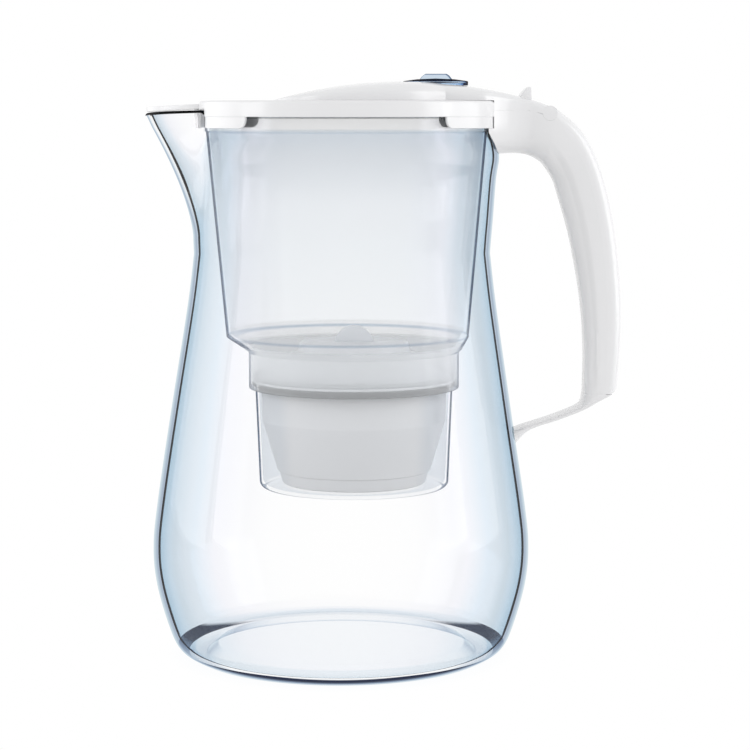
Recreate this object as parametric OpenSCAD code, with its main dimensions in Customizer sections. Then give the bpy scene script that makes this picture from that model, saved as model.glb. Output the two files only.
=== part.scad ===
/* [Jug] */
// Radius of the jug's foot corner
foot_r = 74; // [72:0.5:76]
// Largest outer radius, at the belly
belly_r = 94; // [90:0.5:96]
// Outer radius at the waist, where the spout starts to grow
waist_r = 73.3; // [72:0.1:75]
// Height of the waist
waist_z = 201; // [196:1:206]
// Outer radius of the shoulder under the lid
shoulder_r = 75.3; // [74.6:0.1:76]
// Outer radius of the straight neck that the lid's skirt slides over
neck_r = 72.8; // [72.6:0.1:73]
// Height of the neck's rim
rim_z = 268.5; // [268.5:0.5:268.5]
// Wall thickness of the jug
jug_wall = 2.4; // [2:0.1:2.6]
// How far the mouth's centre stands behind the base's centre
mouth_x = 3; // [2:0.5:4]
// How far the waist's centre stands behind the base's centre
waist_x = 0.7; // [0:0.1:1.2]

/* [Spout] */
// Distance from the base's centre to the spout's tip
spout_reach = 96.8; // [95:0.1:100]
// Height of the spout's tip
spout_tip_z = 269.6; // [269.6:0.1:269.6]
// Height where the spout starts to leave the wall
spout_start_z = 208; // [204:1:214]
// Half of the angle that the spout takes up round the mouth
spout_half_angle = 24; // [22:1:24]

/* [Handle] */
// Width of the grip across the hand
grip_w = 26; // [24:1:28]
// Width of the handle's head and of the lid's rear arm at the hinge
head_w = 28; // [28:1:28]
// Width of the handle's head and of the lid's rear arm where they meet the lid's rim
tail_w = 52; // [44:1:54]

/* [Lid] */
// Outer radius of the lid
lid_r = 74.8; // [74.6:0.1:75]
// Height of the lid's flat top
deck_z = 275.7; // [275.7:0.1:275.7]
// Radius of the round cover over the filling hole
dome_r = 46.5; // [44:0.5:48]
// Height of the flip lid's highest line
crest_z = 285; // [285:0.5:285]
// Radius of the long arc that the flip lid's crest follows
crest_r = 231; // [231:1:231]
// Distance from the base's centre to the flip lid's hinge
hinge_x = 102.3; // [102:0.1:102.6]
// Height of the flip lid's hinge
hinge_z = 269.8; // [269.6:0.1:269.9]

/* [Dial] */
// Radius of the change reminder dial
dial_r = 16; // [14:0.5:16]
// Distance from the base's centre to the dial's centre
dial_x = 46.8; // [44:0.1:48]

/* [Funnel] */
// Outer radius of the funnel at its top
funnel_top_r = 69.2; // [68.6:0.1:69.4]
// Outer radius of the funnel at its floor
funnel_floor_r = 60.2; // [58:0.1:61]
// Height of the funnel's floor
funnel_floor_z = 159.5; // [156:0.5:162]
// Wall thickness of the funnel
funnel_wall = 1.8; // [1.6:0.1:2]
// Outer radius of the collar that holds the cartridge
collar_r = 52.3; // [52:0.1:53]
// Distance from the base's centre to the cartridge's axis
cartridge_x = 6.5; // [6:0.1:7]

/* [Cartridge] */
// Widest radius of the cartridge's shell
cartridge_r = 45.8; // [44:0.1:46]
// Radius of the cartridge's lower end
cartridge_end_r = 35.7; // [34:0.1:38]
// Height of the cartridge's lower end
cartridge_z = 86.2; // [86.2:0.1:87]

/* [Hidden] */
$fn = 96;

// Gap between pieces of different bodies, and the gap of a running fit
gap = 0.4;
fit = 0.05;

// Jug: the push-up under the base, the floor over it and the low ring round it
push_up_z = 7;
push_up_r = 60;
foot_inner_r = 67.5;
floor_z = 9.5;
ring_z = 3.2;

// Jug: the place on its outline where the round lower wall ends, and the lap of the upper wall there
round_end = 22;
lap = 1.5;
lap_play = 0.05;

// Rim: how far it steps up beside the spout, over what share of the spout, and the mouth's level
rim_step = 2.7;
rim_step_share = 0.15;
mouth_level_z = 252;

// Spout: the power of its curve, and how far its foot lies inside the waist's radius
spout_power = 1.5;
spout_foot = 0.6;

// Handle: the neck lug and the foot boss that it clips on
lug = [4, 10, 8];
lug_at = [75.5, -5, 250.5];
boss = [3.5, 8, 3];
boss_at = [85.5, -4, 109.4];
clip_gap = 0.1;

// Lid: the skirt, its longer tabs, the deck, the filling hole and the seat on the funnel
skirt_r = 73.1;
skirt_z = 268;
tab_z = 262.5;
deck_under_z = 272.9;
seat_z = 270.1;
seat_top_z = 271.5;
seat_inner_r = 67;
seat_outer_r = 70.2;
riser_r = 68.6;
hole_r = 36;
dome_x = 12;
gate_angle = 15.5;
slot_angle = 25;
front_tab_angle = 50.9;
rear_tab_angle = 50;

// Lid hinge: knuckles, pin, the lid frame's tongue and the clearances round them
knuckle_r = 3.6;
pin_r = 1.5;
pin_half = 12.5;
tongue_half = 8;
tongue_z = [267, 270.6];
head_top_z = 271.1;
flare_from_x = 70;
flare_to_x = 94;

// Flip lid: its shell, the crest's top, the places where the arm steps down and bends, its plug
shell = 2.2;
crest_x = 31;
lid_gap = 0.2;
arm_step_x = 68;
arm_bend_x = 98;
plug_r = 35;
plug_z = 273.4;
fin_half = 9;

// Spout flap: its hinge, plate and slope
flap_x = -63.5;
flap_z = 274.2;
flap_barrel_r = 1.4;
flap_pin_r = 0.8;
flap_barrel_half = 19.5;
flap_half = 23.7;
flap_t = 2.4;
flap_slope = 3.1;
flap_angle = 17;
flap_back_x = 0.3;
flap_step_x = 2.3;
flap_drop = 2.15;
notch_half = 24.2;

// Dial: heights of its recess, disc and grip bar
recess_z = 282.4;
recess_floor_t = 2.2;
disc_z = 283.3;
disc_edge_z = 285.6;
disc_crown_z = 286.7;
grip_top_z = 288.8;
bar_half = 11;
bar_foot = 8.5;
bar_top = 5.2;
bar_bevel = [1.2, 0.8];
spindle_r = 2.5;
scale_t = 0.6;
clip_r = 5.2;
clip_t = 1.6;
clip_z = 278.2;

// Funnel: its bead, flange, collar and the clear well under it
bead_r = 69.8;
flange_r = 72.4;
bead_z = 261;
collar_z = 134;
collar_top_z = 154.5;
ledge_z = 135.6;
ledge_r = 49.6;
collar_bore_r = 50.7;
well_top_r = 49.2;
well_end_r = 47.1;
well_z = 84.2;
well_wall = 1.6;
well_rim_z = 137.2;
flange_cut_x = -60.3;

// Cartridge: its flange, cap, widest height and layers
cap_z = 138.6;
cap_top_z = 157;
cap_top_r = 27;
widest_z = 118;
shell_t = 1.5;

// A point between b and c on the smooth curve through a, b, c and d
function curve_at(a, b, c, d, t) =
    0.5 * (2 * b + (c - a) * t + (2 * a - 5 * b + 4 * c - d) * t * t
        + (3 * b - a - 3 * c + d) * t * t * t);

// A smooth curve through hand-placed points, with a number of steps between each two
function smooth(points, steps) = [
    for (i = [0 : len(points) - 2], k = [0 : steps - 1])
        curve_at(points[max(i - 1, 0)], points[i], points[i + 1],
            points[min(i + 2, len(points) - 1)], k / steps),
    points[len(points) - 1]
];

// A curve moved sideways, to the left of the way it runs
function beside(curve, by) = [
    for (i = [0 : len(curve) - 1])
        let (way = curve[min(i + 1, len(curve) - 1)] - curve[max(i - 1, 0)])
            curve[i] + by * [-way[1], way[0]] / norm(way)
];

function reversed(list) = [for (i = [len(list) - 1 : -1 : 0]) list[i]];

// A share that starts and ends gently
function eased(t) = let (s = min(max(t, 0), 1)) s * s * (3 - 2 * s);

// A closed solid through rings of points; a looped one joins its last ring to its first
module skin(rings, looped) {
    n = len(rings[0]);
    m = len(rings);
    sides = [
        for (i = [0 : m - (looped ? 1 : 2)], j = [0 : n - 1], half = [0, 1])
            let (a = i * n + j, b = i * n + (j + 1) % n,
                c = ((i + 1) % m) * n + (j + 1) % n, d = ((i + 1) % m) * n + j)
                half == 0 ? [a, c, b] : [a, d, c]
    ];
    ends = looped ? [] : [[for (j = [0 : n - 1]) j], [for (j = [n - 1 : -1 : 0]) (m - 1) * n + j]];
    polyhedron([for (ring = rings) each ring], concat(sides, ends), convexity = 8);
}

// ---- Jug ----

// Outline of the jug from the foot corner to the waist; it is round up to round_end and leans above
jug_outline = smooth([[foot_r, 0], [82, 5], [87, 16], [belly_r - 1.6, 36], [belly_r, 54],
    [belly_r - 2.1, 76], [84.2, 126], [76.4, 176], [waist_r, waist_z]], 4);

jug_inside = beside(jug_outline, jug_wall);

// Outline of the mouth, from the waist over the shoulder to the neck
mouth_outline = smooth([[waist_r, waist_z], [74, 216], [74.2, 237], [shoulder_r, 248],
    [74.2, 255], [neck_r, 260], [neck_r, rim_z]], 2);

// Outline of the whole leaning part
upper_outline = concat([for (i = [round_end : 2 : len(jug_outline) - 1]) jug_outline[i]],
    [for (i = [1 : len(mouth_outline) - 1]) mouth_outline[i]]);

round_end_z = upper_outline[0][1];

// Places round the mouth, closer together over the spout, as angles from -X
mouth_angles = concat([for (a = [-28 : 4 : 28]) a], [for (a = [36 : 8 : 324]) a]);

// How far round from the spout's middle an angle lies, as a share of the spout's half angle
function spout_share(angle) =
    min(min(angle < 180 ? abs(angle) : 360 - angle, spout_half_angle) / spout_half_angle, 1);

function nose(angle) = pow(1 - pow(spout_share(angle), 2), 2);

// Distance from the base's centre to the front of the jug at a height over the waist
function front_x(z) = waist_r - spout_foot + (spout_reach - waist_r + spout_foot)
    * pow(max(z - spout_start_z, 0) / (spout_tip_z - spout_start_z), spout_power);

// The jug's centre moves back a little up to the waist, and on from there to the mouth
function mouth_centre(z) = waist_x * eased((z - round_end_z) / (waist_z - round_end_z))
    + (mouth_x - waist_x) * eased((z - waist_z) / (mouth_level_z - waist_z));

function nose_reach(r, z) = max(front_x(z) - r + mouth_centre(z), 0);

// Height of the rim: it steps up beside the spout and slopes down to the tip
function rim_at(angle) = let (share = 1 - spout_share(angle))
    rim_z + rim_step * eased(share / rim_step_share)
        - (rim_z + rim_step - spout_tip_z) * share * share;

// One ring of the mouth's outside, or of its inside when inset is the wall
function mouth_ring(r, z, inset, at_rim) = [
    for (a = mouth_angles)
        let (reach = nose_reach(r, z), share = spout_share(a), radius = r + reach * nose(a),
            slope = 4 * reach * share * (1 - share * share) / (spout_half_angle * PI / 180) / radius,
            at = radius - inset * sqrt(1 + slope * slope))
            [mouth_centre(z) - at * cos(a), -at * sin(a), at_rim ? rim_at(a) : z]
];

// The rings of one side of the upper wall; the lowest lie just inside the round lower wall
function upper_side(inset, play) = concat(
    [mouth_ring(upper_outline[0][0], round_end_z - lap, inset + 12 * play, false)],
    [mouth_ring(upper_outline[0][0], round_end_z, inset + play, false)],
    [for (i = [1 : len(upper_outline) - 1])
        mouth_ring(upper_outline[i][0], upper_outline[i][1], inset, i == len(upper_outline) - 1)]
);

module jug_body() {
    color([0.78, 0.88, 0.96, 0.4]) {
        rotate_extrude() polygon(concat(
            [[0, push_up_z], [push_up_r, push_up_z], [foot_inner_r, 0]],
            [for (i = [0 : round_end]) jug_outline[i]],
            [jug_outline[round_end] - [jug_wall, 0]],
            reversed([for (i = [5 : round_end - 1]) jug_inside[i]]),
            [[76, ring_z + 0.5], [70, ring_z], [66, ring_z + 1.4], [58, floor_z - 0.4],
                [55, floor_z], [0, floor_z]]
        ));
        skin(concat(upper_side(0, lap_play), reversed(upper_side(jug_wall, -lap_play))), true);
        translate(lug_at) cube(lug);
        translate(boss_at) cube(boss);
    }
}

// ---- Handle ----

// Slices of the grip, each a point on its inner edge, on its seam and on its outer edge
grip_inner = smooth([[99.5, 245], [104.4, 237.5], [107.1, 229.5], [112.9, 209.2],
    [118.2, 181], [120.5, 155.5], [120.4, 131.5]], 3);
grip_seam = smooth([[104.2, 267], [113.2, 255.8], [121.4, 239.4], [127.5, 212.9],
    [131, 181], [131.5, 155.5], [131, 131.5]], 3);
grip_outer = smooth([[105.9, 272.2], [118.5, 261], [127.9, 242.4], [134.8, 214.3],
    [138.5, 181], [138.5, 155.5], [136.9, 131.5]], 3);

// The head, from the jug's neck to the grip, as pairs of points under and over it
head_under = smooth([[71, 249.4], [84, 250.2], [91, 249.6], [96, 247.6]], 3);
head_over = smooth([[71, head_top_z], [84, head_top_z], [91.5, head_top_z], [99, 269.1]], 3);

// Half width of the head and of the lid's arm: wide at the lid's rim, narrow at the hinge
function flare_at(x) = head_w / 2 + (tail_w - head_w) / 2
    * pow(1 - min(max((x - flare_from_x) / (flare_to_x - flare_from_x), 0), 1), 2);

// The lower arm, from the grip to the jug's wall: points over it and under it, and its width as a
// share of the grip's
arm_over = [[120.3, 130.9], [119.7, 127.2], [118.3, 125], [115.4, 123.4], [105.6, 119.6],
    [96.7, 116.7], [91, 115], [82, 112]];
arm_under = [[136.8, 131.4], [134.6, 130.7], [129.2, 128.1], [121, 123.2], [108, 118],
    [97.5, 114.6], [91.5, 111.2], [84, 102.5]];
arm_share = [1, 0.97, 0.89, 0.79, 0.72, 0.69, 0.71, 0.77];

// One slice with a flat face at the back and a rounded one at the front
function slice(front, back, half) = [
    for (k = [0 : 12])
        let (a = 15 * k, out = pow(abs(sin(a)), 0.6), across = pow(abs(cos(a)), 0.6),
            p = back + (front - back) * out)
            [p[0], half * across * (a < 90 ? 1 : -1), p[1]]
];

module hinge_room(extra) {
    translate([hinge_x, 0, hinge_z]) rotate([90, 0, 0])
        cylinder(r = knuckle_r + extra, h = head_w + 4, center = true);
    translate([hinge_x - knuckle_r - extra, -head_w / 2 - 2, hinge_z])
        cube([2 * (knuckle_r + extra), head_w + 4, 12]);
}

// The neck and the lid's skirt in front of it, a little oversize
module neck_room() {
    translate([mouth_x, 0, 0]) rotate_extrude() polygon([[0, 240], [shoulder_r + 0.1, 240],
        [shoulder_r + 0.1, 248.5], [74.4, 255.2], [neck_r + 0.1, 260.2], [neck_r + 0.1, tab_z - gap],
        [lid_r + gap, tab_z - gap], [lid_r + gap, 290], [0, 290]]);
}

module handle_body() {
    color([0.93, 0.93, 0.94]) difference() {
        skin(concat(
            [for (i = [0 : len(head_under) - 1])
                slice(head_under[i], head_over[i], flare_at(head_over[i][0]))],
            [for (i = [0 : len(grip_inner) - 1])
                slice(grip_inner[i], grip_seam[i], (i < 4 ? head_w - 0.5 * i : grip_w) / 2)],
            [for (i = [0 : len(arm_over) - 1])
                slice(arm_over[i], arm_under[i], arm_share[i] * grip_w / 2)]
        ), false);
        neck_room();
        hinge_room(gap);
        translate([60, -tongue_half - 0.6, 263.6]) cube([hinge_x - 60, 2 * tongue_half + 1.2, 20]);
        rotate_extrude() polygon(concat([[0, 90]],
            beside([for (p = jug_outline) if (p[1] > 70 && p[1] < 150) p], -0.1), [[0, 150]]));
        translate(lug_at - [5, clip_gap, clip_gap])
            cube(lug + [5 + clip_gap, 2 * clip_gap, 2 * clip_gap]);
        translate(boss_at - [4, clip_gap, clip_gap])
            cube(boss + [4 + clip_gap, 2 * clip_gap, 2 * clip_gap]);
    }
}

module handle_cover() {
    color([0.96, 0.96, 0.97]) difference() {
        skin(reversed([for (i = [0 : len(grip_outer) - 1])
            slice(grip_outer[i], grip_seam[i], (i < 4 ? head_w - 0.5 * i : grip_w) / 2)]), false);
        hinge_room(gap);
    }
}

// ---- Lid ----

module ring(inner, outer, low, high) {
    translate([mouth_x, 0, low]) difference() {
        cylinder(r = outer, h = high - low);
        translate([0, 0, -1]) cylinder(r = inner, h = high - low + 2);
    }
}

// A wedge round the mouth's centre, between two angles from -X on the side of +Y
module wedge(from, to, low, high) {
    translate([mouth_x, 0, low]) linear_extrude(high - low) polygon(concat([[0, 0]],
        [for (k = [0 : 4]) let (a = from + (to - from) * k / 4) 100 * [-cos(a), sin(a)]]));
}

module both_sides() {
    children();
    mirror([0, 1, 0]) children();
}

module across(x, z, r, half) {
    translate([x, 0, z]) rotate([90, 0, 0]) cylinder(r = r, h = 2 * half, center = true);
}

module lid_frame() {
    color([0.94, 0.94, 0.95]) difference() {
        union() {
            difference() {
                ring(0.01, lid_r, deck_under_z, deck_z);
                translate([dome_x, 0, 260]) cylinder(r = hole_r, h = 30);
            }
            ring(skirt_r, lid_r, skirt_z, deck_z);
            intersection() {
                ring(skirt_r, lid_r, tab_z, seat_top_z);
                union() {
                    wedge(-front_tab_angle, front_tab_angle, tab_z, seat_top_z);
                    wedge(180 - rear_tab_angle, 180 + rear_tab_angle, tab_z, seat_top_z);
                }
            }
            ring(seat_inner_r, seat_outer_r, seat_z, seat_top_z);
            ring(seat_inner_r, riser_r, seat_z, deck_under_z + 0.5);
            intersection() {
                ring(seat_inner_r, lid_r, seat_z, seat_top_z);
                wedge(-gate_angle, gate_angle, seat_z, seat_top_z);
            }
            translate([neck_r + mouth_x + gap, -tongue_half, tongue_z[0]])
                cube([hinge_x - neck_r - mouth_x - gap, 2 * tongue_half, tongue_z[1] - tongue_z[0]]);
            across(hinge_x, hinge_z, knuckle_r, tongue_half);
        }
        both_sides() intersection() {
            ring(seat_outer_r + 0.01, lid_r + 1, tab_z - 1, seat_top_z);
            wedge(gate_angle, slot_angle, tab_z - 2, seat_top_z + 1);
        }
        translate([-90, -notch_half, seat_top_z]) cube([90 + flap_x - 1.9, 2 * notch_half, 20]);
        translate([-90, -flap_barrel_half - 0.3, seat_top_z])
            cube([90 + flap_x + 2.1, 2 * flap_barrel_half + 0.6, 20]);
        across(flap_x, flap_z, flap_pin_r + fit, flap_half);
        across(hinge_x, hinge_z, pin_r + fit, tongue_half + 1);
    }
}

module lid_hinge_pin() {
    color([0.8, 0.81, 0.83]) across(hinge_x, hinge_z, pin_r, pin_half);
}

// ---- Flip lid ----

// Height of the flip lid's crest: a long arc that comes down to the hinge's knuckle
function crest_at(x) = x > arm_bend_x
    ? hinge_z + knuckle_r + (arc_at(arm_bend_x) - hinge_z - knuckle_r)
        * (hinge_x - x) / (hinge_x - arm_bend_x)
    : arc_at(x);

function arc_at(x) = crest_z - crest_r + sqrt(crest_r * crest_r - pow(x - crest_x, 2));

// Half width of the flip lid seen from above: a round cover that runs into the rear arm
function lid_half(x) = max(sqrt(max(dome_r * dome_r - pow(x - dome_x, 2), 0)),
    x > dome_x ? flare_at(x) : 0);

// Height of the flip lid's underside: over the deck, then lower over the handle's head
function under_at(x) = x < arm_step_x ? deck_z + lid_gap
    : lookup(x, [[91.8, head_top_z + gap], [99.3, 269.7], [hinge_x, 268.9]]);

// An upright slice of the flip lid, or of its hollow when inset is the shell's thickness
function lid_slice(x, inset) =
    let (half = lid_half(x) - inset, low = under_at(x), top = crest_at(x) - inset,
        side = x < arm_step_x ? low + 0.3 : low + 0.45 * (crest_at(x) - low),
        power = x < arm_step_x - 20 ? 0.5 : 0.6)
        concat([[x, half, low - 4 * inset]], [
            for (k = [0 : 12])
                let (a = 15 * k)
                    [x, half * pow(abs(cos(a)), power) * (a < 90 ? 1 : -1),
                        side + (top - side) * pow(abs(sin(a)), power)]
        ], [[x, -half, low - 4 * inset]]);

module lid_form(turn_from, last_x, inset) {
    places = concat([for (t = [turn_from : 11 : 140]) dome_x - dome_r * cos(t)], [
        for (x = [50.6, 56, 62, arm_step_x - 0.1, arm_step_x + 0.1, 73, 77, 81, 85, 88.5, 91.8, 96,
            99.3, hinge_x])
            if (x <= last_x) x
    ]);
    skin([for (x = places) lid_slice(x, inset)], false);
}

module plug_ring() {
    intersection() {
        translate([dome_x, 0, plug_z]) difference() {
            cylinder(r = plug_r, h = 20);
            translate([0, 0, -1]) cylinder(r = plug_r - 2, h = 22);
        }
        rotate([90, 0, 0]) linear_extrude(2 * plug_r + 2, center = true) polygon([
            [dome_x - plug_r - 1, plug_z], [dome_x + plug_r + 1, plug_z],
            [dome_x + plug_r + 1, 281.8], [dome_x, 281.5], [-10, 280], [dome_x - plug_r - 1, 277.6]]);
    }
}

module flip_lid() {
    color([0.97, 0.97, 0.98]) difference() {
        union() {
            difference() {
                lid_form(17, hinge_x, 0);
                lid_form(50, 96, shell);
                translate([mouth_x, 0, deck_z - 20]) cylinder(r = lid_r + gap, h = 20 + lid_gap);
            }
            plug_ring();
            translate([dial_x, 0, recess_z - recess_floor_t])
                cylinder(r = dial_r + 1, h = recess_floor_t);
            across(hinge_x, hinge_z, knuckle_r, head_w / 2);
            rotate([90, 0, 0]) linear_extrude(2 * fin_half, center = true) polygon([[88.2, 276.5],
                [88.2, 278.8], [90.8, 281.7], [92.2, 282.5], [93.2, 282.5], [93.6, 282], [93.6, 276]]);
        }
        translate([dial_x, 0, recess_z]) cylinder(r = dial_r + gap, h = 10);
        translate([dial_x, 0, recess_z - 5]) cylinder(r = spindle_r + fit, h = 10);
        translate([dial_x, 0, clip_z - gap])
            cylinder(r = clip_r + gap, h = recess_z - recess_floor_t - clip_z + gap);
        translate([hinge_x - knuckle_r - gap, -tongue_half - gap, hinge_z - 10])
            cube([20, 2 * tongue_half + 2 * gap, 20]);
        translate([70, -tongue_half - gap, tongue_z[0] - 1])
            cube([hinge_x - 70, 2 * tongue_half + 2 * gap, tongue_z[1] - tongue_z[0] + 1 + gap]);
        across(hinge_x, hinge_z, pin_r + fit, pin_half + 0.2);
    }
}

// ---- Spout flap ----

module spout_flap() {
    reach = nose_reach(neck_r, rim_z);
    back_half = flap_barrel_half - 0.5;
    color([0.95, 0.95, 0.96]) difference() {
        union() {
            translate([flap_x, 0, flap_z - flap_drop]) rotate([0, -flap_slope, 0]) linear_extrude(flap_t)
                polygon(concat(
                    [[flap_back_x, -back_half], [-flap_step_x, -back_half],
                        [-flap_step_x, -flap_half]],
                    [for (k = [-8 : 8])
                        let (a = flap_angle * k / 8, r = neck_r - gap + reach * nose(a))
                            [mouth_x - flap_x - r * cos(a), r * sin(a)]],
                    [[-flap_step_x, flap_half], [-flap_step_x, back_half],
                        [flap_back_x, back_half]]
                ));
            across(flap_x, flap_z, flap_barrel_r, flap_barrel_half);
        }
        across(flap_x, flap_z, flap_pin_r + fit, flap_half);
    }
}

module spout_flap_pin() {
    color([0.8, 0.81, 0.83]) across(flap_x, flap_z, flap_pin_r, flap_half - 0.3);
}

// ---- Dial ----

module dial_knob() {
    color([0.45, 0.7, 0.93, 0.7]) {
        translate([dial_x, 0, 0]) rotate_extrude() polygon([[0, 277.6], [spindle_r, 277.6],
            [spindle_r, disc_edge_z - 0.6], [dial_r - 1.2, disc_edge_z - 1], [dial_r - 1.2, disc_z],
            [dial_r, disc_z], [dial_r, disc_edge_z - 0.4], [dial_r - 0.5, disc_edge_z],
            [dial_r * 0.6, disc_crown_z - 0.4], [0, disc_crown_z]]);
        translate([dial_x, 0, 0]) rotate([90, 0, 0]) linear_extrude(2 * bar_half, center = true)
            polygon([[-bar_foot, disc_edge_z - 0.3], [bar_foot, disc_edge_z - 0.3],
                [bar_top + bar_bevel[0], grip_top_z - bar_bevel[1]], [bar_top, grip_top_z],
                [-bar_top, grip_top_z], [-bar_top - bar_bevel[0], grip_top_z - bar_bevel[1]]]);
    }
}

module dial_scale() {
    color([0.9, 0.92, 0.95]) translate([dial_x, 0, recess_z]) {
        difference() {
            cylinder(r = dial_r, h = scale_t);
            translate([0, 0, -1]) cylinder(r = spindle_r + 3, h = 3);
        }
        for (k = [0 : 11]) rotate([0, 0, 30 * k]) translate([9.5, -0.35, scale_t - 0.1])
            cube([3.5, 0.7, 0.25]);
    }
}

module dial_clip() {
    color([0.85, 0.86, 0.88]) translate([dial_x, 0, clip_z]) difference() {
        cylinder(r = clip_r, h = clip_t);
        translate([0, 0, -1]) cylinder(r = spindle_r + 0.02, h = 4);
    }
}

// ---- Funnel ----

module disc(x, r, z) {
    translate([x, 0, z]) cylinder(r = r, h = 0.5, $fn = 64);
}

module funnel() {
    color([0.86, 0.9, 0.93, 0.8]) difference() {
        union() {
            translate([mouth_x, 0, 0]) rotate_extrude() polygon([
                [funnel_floor_r - funnel_wall, funnel_floor_z - 0.9], [funnel_floor_r, funnel_floor_z],
                [funnel_top_r, bead_z - 0.5], [bead_r, bead_z], [bead_r, rim_z], [flange_r, rim_z],
                [flange_r, seat_z], [funnel_top_r - funnel_wall, seat_z],
                [funnel_top_r - funnel_wall, bead_z - 0.5],
                [funnel_floor_r - funnel_wall, funnel_floor_z + 1.1]
            ]);
            hull() {
                disc(mouth_x, funnel_floor_r - 0.6, funnel_floor_z - 0.3);
                disc(cartridge_x, collar_r - 0.7, collar_top_z - 1.7);
            }
            translate([cartridge_x, 0, collar_z]) cylinder(r = collar_r, h = collar_top_z - collar_z);
        }
        hull() {
            disc(mouth_x, funnel_floor_r - 2.4, funnel_floor_z + 2.5);
            disc(cartridge_x, collar_bore_r - 0.5, collar_top_z + 0.4);
        }
        translate([cartridge_x, 0, ledge_z]) cylinder(r = collar_bore_r, h = 21);
        translate([cartridge_x, 0, collar_z - 1]) cylinder(r = ledge_r, h = 4);
        difference() {
            translate([flange_cut_x - 40, -60, rim_z - 1]) cube([40, 120, 5]);
            translate([mouth_x, 0, rim_z - 2]) cylinder(r = bead_r, h = 7);
        }
    }
}

// Radial slots through a floor, for the water
module water_slots(count, from, to, width, low, high) {
    for (k = [0 : count - 1]) rotate([0, 0, 360 * k / count])
        translate([from, -width / 2, low]) cube([to - from, width, high - low]);
}

module funnel_well() {
    color([0.88, 0.92, 0.95, 0.6]) translate([cartridge_x, 0, 0]) difference() {
        rotate_extrude() polygon([[0, well_z], [well_end_r - 4, well_z], [well_end_r - 1.2, well_z + 1.2],
            [well_end_r, well_z + 4], [well_top_r, ledge_z], [collar_bore_r - 0.2, ledge_z],
            [collar_bore_r - 0.2, well_rim_z], [well_top_r - well_wall, well_rim_z],
            [well_end_r - well_wall, well_z + 4.5], [well_end_r - 4, well_z + 1.5],
            [0, well_z + 1.5]]);
        water_slots(8, 12, 32, 3, well_z - 1, well_z + 3);
    }
}

// ---- Cartridge ----

module cartridge_shell() {
    color([0.83, 0.86, 0.89]) translate([cartridge_x, 0, 0]) difference() {
        rotate_extrude() polygon([[0, cartridge_z], [cartridge_end_r - 1, cartridge_z],
            [cartridge_end_r, cartridge_z + 1], [cartridge_end_r + 1.7, cartridge_z + 6.2],
            [cartridge_end_r + 2.6, cartridge_z + 6.6], [cartridge_r, widest_z],
            [cartridge_r + 0.4, well_rim_z - 3], [cartridge_r + 0.6, well_rim_z],
            [collar_bore_r - 0.4, well_rim_z], [collar_bore_r - 0.4, cap_z],
            [cartridge_r - shell_t, cap_z], [cartridge_r - shell_t, widest_z + 1],
            [cartridge_end_r + 0.9, cartridge_z + 7.8], [cartridge_end_r - 1.3, cartridge_z + shell_t],
            [0, cartridge_z + shell_t]]);
        water_slots(12, 8, 30, 2, cartridge_z - 1, cartridge_z + 3);
    }
}

module cartridge_cap() {
    color([0.9, 0.92, 0.94]) translate([cartridge_x, 0, 0]) difference() {
        rotate_extrude() polygon([[cartridge_r - shell_t, cap_z], [48.5, cap_z], [48.5, cap_z + 1.6],
            [46, cap_z + 2.4], [cap_top_r + 6, 150.5], [cap_top_r + 1, 152], [cap_top_r, cap_top_z],
            [0, cap_top_z], [0, cap_top_z - 1.6], [cap_top_r - 1.4, cap_top_z - 1.6],
            [cap_top_r - 0.4, 150.7], [cap_top_r + 5, 149], [cartridge_r - shell_t, cap_z + 1.8]]);
        water_slots(10, 13, 23, 2.6, cap_top_z - 4, cap_top_z + 1);
    }
}

module cartridge_grip() {
    color([0.93, 0.94, 0.96]) translate([cartridge_x, 0, cap_top_z]) intersection() {
        rotate([90, 0, 0]) translate([0, -2.2, 0]) cylinder(r = 10, h = 4, center = true);
        translate([-12, -4, 0]) cube([24, 8, 12]);
    }
}

module cartridge_seal() {
    color([0.75, 0.78, 0.8]) translate([cartridge_x, 0, cap_z + 1.1]) rotate_extrude()
        translate([49.45, 0]) circle(r = 0.9, $fn = 24);
}

module filter_media() {
    color([0.55, 0.58, 0.6]) translate([cartridge_x, 0, 0]) rotate_extrude() polygon([
        [0, cartridge_z + 3.3], [cartridge_end_r - 1.9, cartridge_z + 3.3],
        [cartridge_end_r + 0.4, cartridge_z + 8], [cartridge_r - 1.9, widest_z + 1],
        [cartridge_r - 1.9, 134], [0, 134]]);
}

module inlet_mesh() {
    color([0.95, 0.95, 0.93]) translate([cartridge_x, 0, 134.3]) cylinder(r = cartridge_r - 1.9, h = 1);
}

module outlet_mesh() {
    color([0.95, 0.95, 0.93]) translate([cartridge_x, 0, cartridge_z + 1.7])
        cylinder(r = cartridge_end_r - 1.9, h = 1.4);
}

jug_body();
handle_body();
handle_cover();
lid_frame();
lid_hinge_pin();
flip_lid();
spout_flap();
spout_flap_pin();
dial_knob();
dial_scale();
dial_clip();
funnel();
funnel_well();
cartridge_shell();
cartridge_cap();
cartridge_grip();
cartridge_seal();
filter_media();
inlet_mesh();
outlet_mesh();
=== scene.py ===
"""Looks of a water filter pitcher with a flip lid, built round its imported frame.

Sizes are in millimetres in the frame's axes: +Z up, -X towards the spout, +X towards the handle.
"""

import math

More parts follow.
